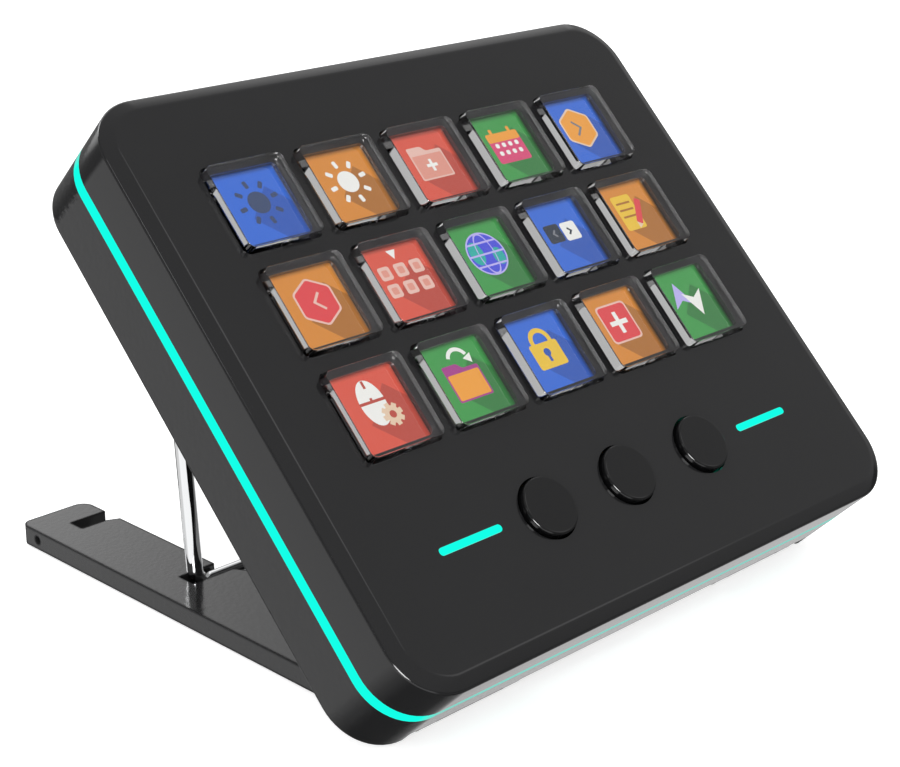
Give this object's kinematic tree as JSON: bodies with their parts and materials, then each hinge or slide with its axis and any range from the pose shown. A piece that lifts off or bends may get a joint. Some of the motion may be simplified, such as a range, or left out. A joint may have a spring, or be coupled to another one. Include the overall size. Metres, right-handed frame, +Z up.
{
  "type": "macro keypad with knobs",
  "caption": "Tilted desktop macro keypad with clear display keys, push dials and a light strip, on a hinged base plate with a wire prop.",
  "frame": {"origin": "centre of the footprint, on the surface that the base plate's pads stand on", "axes": "+Z up, +Y from the front edge to the back, +X to the right as the user sees the keys"},
  "size_m": [0.1196, 0.1148, 0.0884],
  "materials": {
    "shell_black": "matte black ABS with a fine texture",
    "light_cyan": "translucent light guide lit cyan from behind",
    "flex_white": "white solder mask",
    "display_dark": "smooth display glass, dark when unlit",
    "ribbon_amber": "polyimide film",
    "tray_grey": "moulded, matte",
    "silicone": "black silicone, matte",
    "clear_acrylic": "clear polished acrylic",
    "dial_black": "satin black",
    "steel": "bright steel",
    "rotor_buff": "acetal",
    "nickel": "nickel-plated sheet",
    "board_green": "dark solder mask",
    "chip_black": "moulded epoxy",
    "screw_dark": "blackened steel",
    "chrome": "polished chrome plating",
    "plate_grey": "dark grey, fine grain with a satin sheen",
    "pad_rubber": "matte rubber"
  },
  "bodies": {
    "head": {"front_shell": "shell_black", "rear_shell": "shell_black", "light_strip": "light_cyan", "light_bar_left": "light_cyan", "light_bar_right": "light_cyan", "edge_leds": "flex_white", "display_panel": "display_dark", "display_ribbon": "ribbon_amber", "display_tray": "tray_grey", "key_mat": "silicone", "encoder_case_1": "nickel", "encoder_case_2": "nickel", "encoder_case_3": "nickel", "main_board": "board_green", "board_parts": "chip_black", "usb_socket": "nickel", "case_screws": "screw_dark", "tray_screws": "steel", "board_screws": "steel", "prop_clips": "shell_black", "clip_screws": "steel", "hinge_pins": "steel"},
    "stand_plate": {"base_plate": "plate_grey", "base_pads": "pad_rubber"},
    "prop": {"prop_wire": "chrome"},
    "key_1_1": {"key_r1c1": "clear_acrylic"},
    "key_1_2": {"key_r1c2": "clear_acrylic"},
    "key_1_3": {"key_r1c3": "clear_acrylic"},
    "key_1_4": {"key_r1c4": "clear_acrylic"},
    "key_1_5": {"key_r1c5": "clear_acrylic"},
    "key_2_1": {"key_r2c1": "clear_acrylic"},
    "key_2_2": {"key_r2c2": "clear_acrylic"},
    "key_2_3": {"key_r2c3": "clear_acrylic"},
    "key_2_4": {"key_r2c4": "clear_acrylic"},
    "key_2_5": {"key_r2c5": "clear_acrylic"},
    "key_3_1": {"key_r3c1": "clear_acrylic"},
    "key_3_2": {"key_r3c2": "clear_acrylic"},
    "key_3_3": {"key_r3c3": "clear_acrylic"},
    "key_3_4": {"key_r3c4": "clear_acrylic"},
    "key_3_5": {"key_r3c5": "clear_acrylic"},
    "rotor_1": {"encoder_rotor_1": "rotor_buff"},
    "knob_1": {"dial_1": "dial_black", "dial_shaft_1": "steel"},
    "rotor_2": {"encoder_rotor_2": "rotor_buff"},
    "knob_2": {"dial_2": "dial_black", "dial_shaft_2": "steel"},
    "rotor_3": {"encoder_rotor_3": "rotor_buff"},
    "knob_3": {"dial_3": "dial_black", "dial_shaft_3": "steel"}
  },
  "joints": [
    {"name": "stand_open", "type": "hinge", "parent": "head", "child": "stand_plate", "pos_m": [0, -0.04283, 0.00232], "axis": [-1, 0, 0], "range_deg": [0, 120]},
    {"name": "prop_swing", "type": "hinge", "parent": "head", "child": "prop", "pos_m": [0, 0.02238, 0.07245], "axis": [-1, 0, 0], "range_deg": [0, 40.44]},
    {"name": "press_key_1_1", "type": "slide", "parent": "head", "child": "key_1_1", "axis": [0, 0.7071, -0.7071], "range_m": [0, 0.0003], "stiffness_N_per_m": 400},
    {"name": "press_key_1_2", "type": "slide", "parent": "head", "child": "key_1_2", "axis": [0, 0.7071, -0.7071], "range_m": [0, 0.0003], "stiffness_N_per_m": 400},
    {"name": "press_key_1_3", "type": "slide", "parent": "head", "child": "key_1_3", "axis": [0, 0.7071, -0.7071], "range_m": [0, 0.0003], "stiffness_N_per_m": 400},
    {"name": "press_key_1_4", "type": "slide", "parent": "head", "child": "key_1_4", "axis": [0, 0.7071, -0.7071], "range_m": [0, 0.0003], "stiffness_N_per_m": 400},
    {"name": "press_key_1_5", "type": "slide", "parent": "head", "child": "key_1_5", "axis": [0, 0.7071, -0.7071], "range_m": [0, 0.0003], "stiffness_N_per_m": 400},
    {"name": "press_key_2_1", "type": "slide", "parent": "head", "child": "key_2_1", "axis": [0, 0.7071, -0.7071], "range_m": [0, 0.0003], "stiffness_N_per_m": 400},
    {"name": "press_key_2_2", "type": "slide", "parent": "head", "child": "key_2_2", "axis": [0, 0.7071, -0.7071], "range_m": [0, 0.0003], "stiffness_N_per_m": 400},
    {"name": "press_key_2_3", "type": "slide", "parent": "head", "child": "key_2_3", "axis": [0, 0.7071, -0.7071], "range_m": [0, 0.0003], "stiffness_N_per_m": 400},
    {"name": "press_key_2_4", "type": "slide", "parent": "head", "child": "key_2_4", "axis": [0, 0.7071, -0.7071], "range_m": [0, 0.0003], "stiffness_N_per_m": 400},
    {"name": "press_key_2_5", "type": "slide", "parent": "head", "child": "key_2_5", "axis": [0, 0.7071, -0.7071], "range_m": [0, 0.0003], "stiffness_N_per_m": 400},
    {"name": "press_key_3_1", "type": "slide", "parent": "head", "child": "key_3_1", "axis": [0, 0.7071, -0.7071], "range_m": [0, 0.0003], "stiffness_N_per_m": 400},
    {"name": "press_key_3_2", "type": "slide", "parent": "head", "child": "key_3_2", "axis": [0, 0.7071, -0.7071], "range_m": [0, 0.0003], "stiffness_N_per_m": 400},
    {"name": "press_key_3_3", "type": "slide", "parent": "head", "child": "key_3_3", "axis": [0, 0.7071, -0.7071], "range_m": [0, 0.0003], "stiffness_N_per_m": 400},
    {"name": "press_key_3_4", "type": "slide", "parent": "head", "child": "key_3_4", "axis": [0, 0.7071, -0.7071], "range_m": [0, 0.0003], "stiffness_N_per_m": 400},
    {"name": "press_key_3_5", "type": "slide", "parent": "head", "child": "key_3_5", "axis": [0, 0.7071, -0.7071], "range_m": [0, 0.0003], "stiffness_N_per_m": 400},
    {"name": "turn_knob_1", "type": "hinge", "parent": "head", "child": "rotor_1", "pos_m": [-0.019, -0.04416, 0.02897], "axis": [0, -0.7071, 0.7071], "continuous": true},
    {"name": "press_knob_1", "type": "slide", "parent": "rotor_1", "child": "knob_1", "axis": [0, 0.7071, -0.7071], "range_m": [0, 0.0005], "stiffness_N_per_m": 1000},
    {"name": "turn_knob_2", "type": "hinge", "parent": "head", "child": "rotor_2", "pos_m": [0, -0.04416, 0.02897], "axis": [0, -0.7071, 0.7071], "continuous": true},
    {"name": "press_knob_2", "type": "slide", "parent": "rotor_2", "child": "knob_2", "axis": [0, 0.7071, -0.7071], "range_m": [0, 0.0005], "stiffness_N_per_m": 1000},
    {"name": "turn_knob_3", "type": "hinge", "parent": "head", "child": "rotor_3", "pos_m": [0.019, -0.04416, 0.02897], "axis": [0, -0.7071, 0.7071], "continuous": true},
    {"name": "press_knob_3", "type": "slide", "parent": "rotor_3", "child": "knob_3", "axis": [0, 0.7071, -0.7071], "range_m": [0, 0.0005], "stiffness_N_per_m": 1000}
  ],
  "couplings": [
    {"joint": "prop_swing", "follows": "stand_open", "ratio": 0.337}
  ]
}
